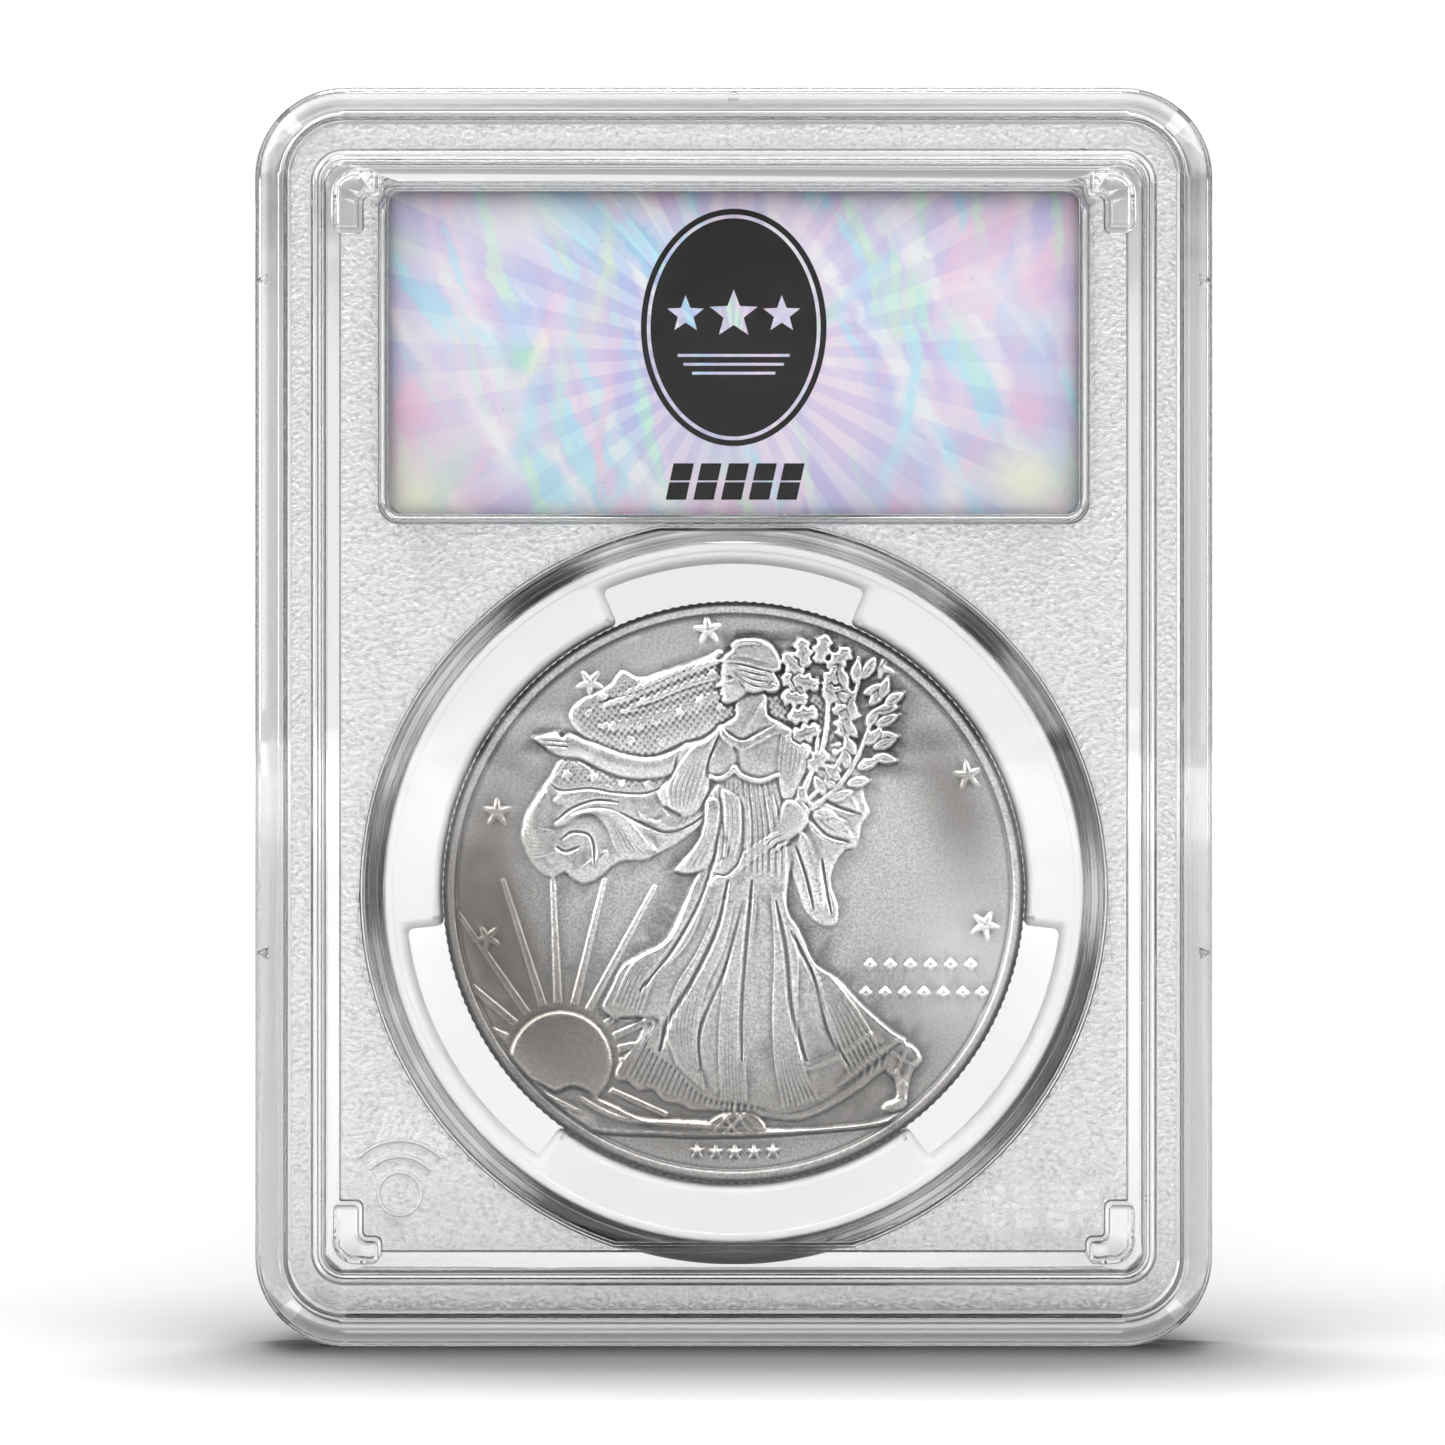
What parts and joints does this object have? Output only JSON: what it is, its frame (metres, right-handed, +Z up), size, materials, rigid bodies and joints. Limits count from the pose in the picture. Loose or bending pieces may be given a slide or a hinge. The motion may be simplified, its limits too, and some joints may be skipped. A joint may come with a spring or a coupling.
{
  "type": "graded coin slab",
  "caption": "Clear two-part sealed holder, standing on its short edge, with a silver coin held in a white tabbed ring under a foil label.",
  "frame": {"origin": "middle of the bottom edge that the slab stands on, at the foot's level, halfway through the thickness", "axes": "+Z up along the slab's height, +X to the right seen from the front, +Y from the coin's front towards its back, so the front faces -Y"},
  "size_m": [0.0666, 0.008, 0.0874],
  "materials": {
    "clear_plastic": "clear styrene, polished on the rims, ridge and windows and fine-grain frosted between them",
    "clear_plastic_rear": "clear styrene, polished on the rims, ridge and windows and fine-grain frosted between them",
    "white_ring": "satin white, slightly translucent",
    "silver_coin": "satin struck silver with faint warm toning",
    "foil_label": "pastel diffraction foil with a printed black badge",
    "rear_card": "satin card with a pale foil pattern",
    "tag_film": "thin polyester film",
    "tag_metal": "etched foil",
    "tag_strip": "plated strip",
    "tag_chip": "bare die under a black drop of resin",
    "stamp_foil": "pale hot-stamped security foil"
  },
  "bodies": {
    "root": {"front_shell": "clear_plastic", "rear_shell": "clear_plastic_rear", "gasket_ring": "white_ring", "coin": "silver_coin", "front_label": "foil_label", "rear_label": "rear_card", "tag_film": "tag_film", "tag_antenna": "tag_metal", "tag_jumper": "tag_strip", "tag_chip": "tag_chip", "foil_stamp": "stamp_foil"}
  },
  "joints": []
}
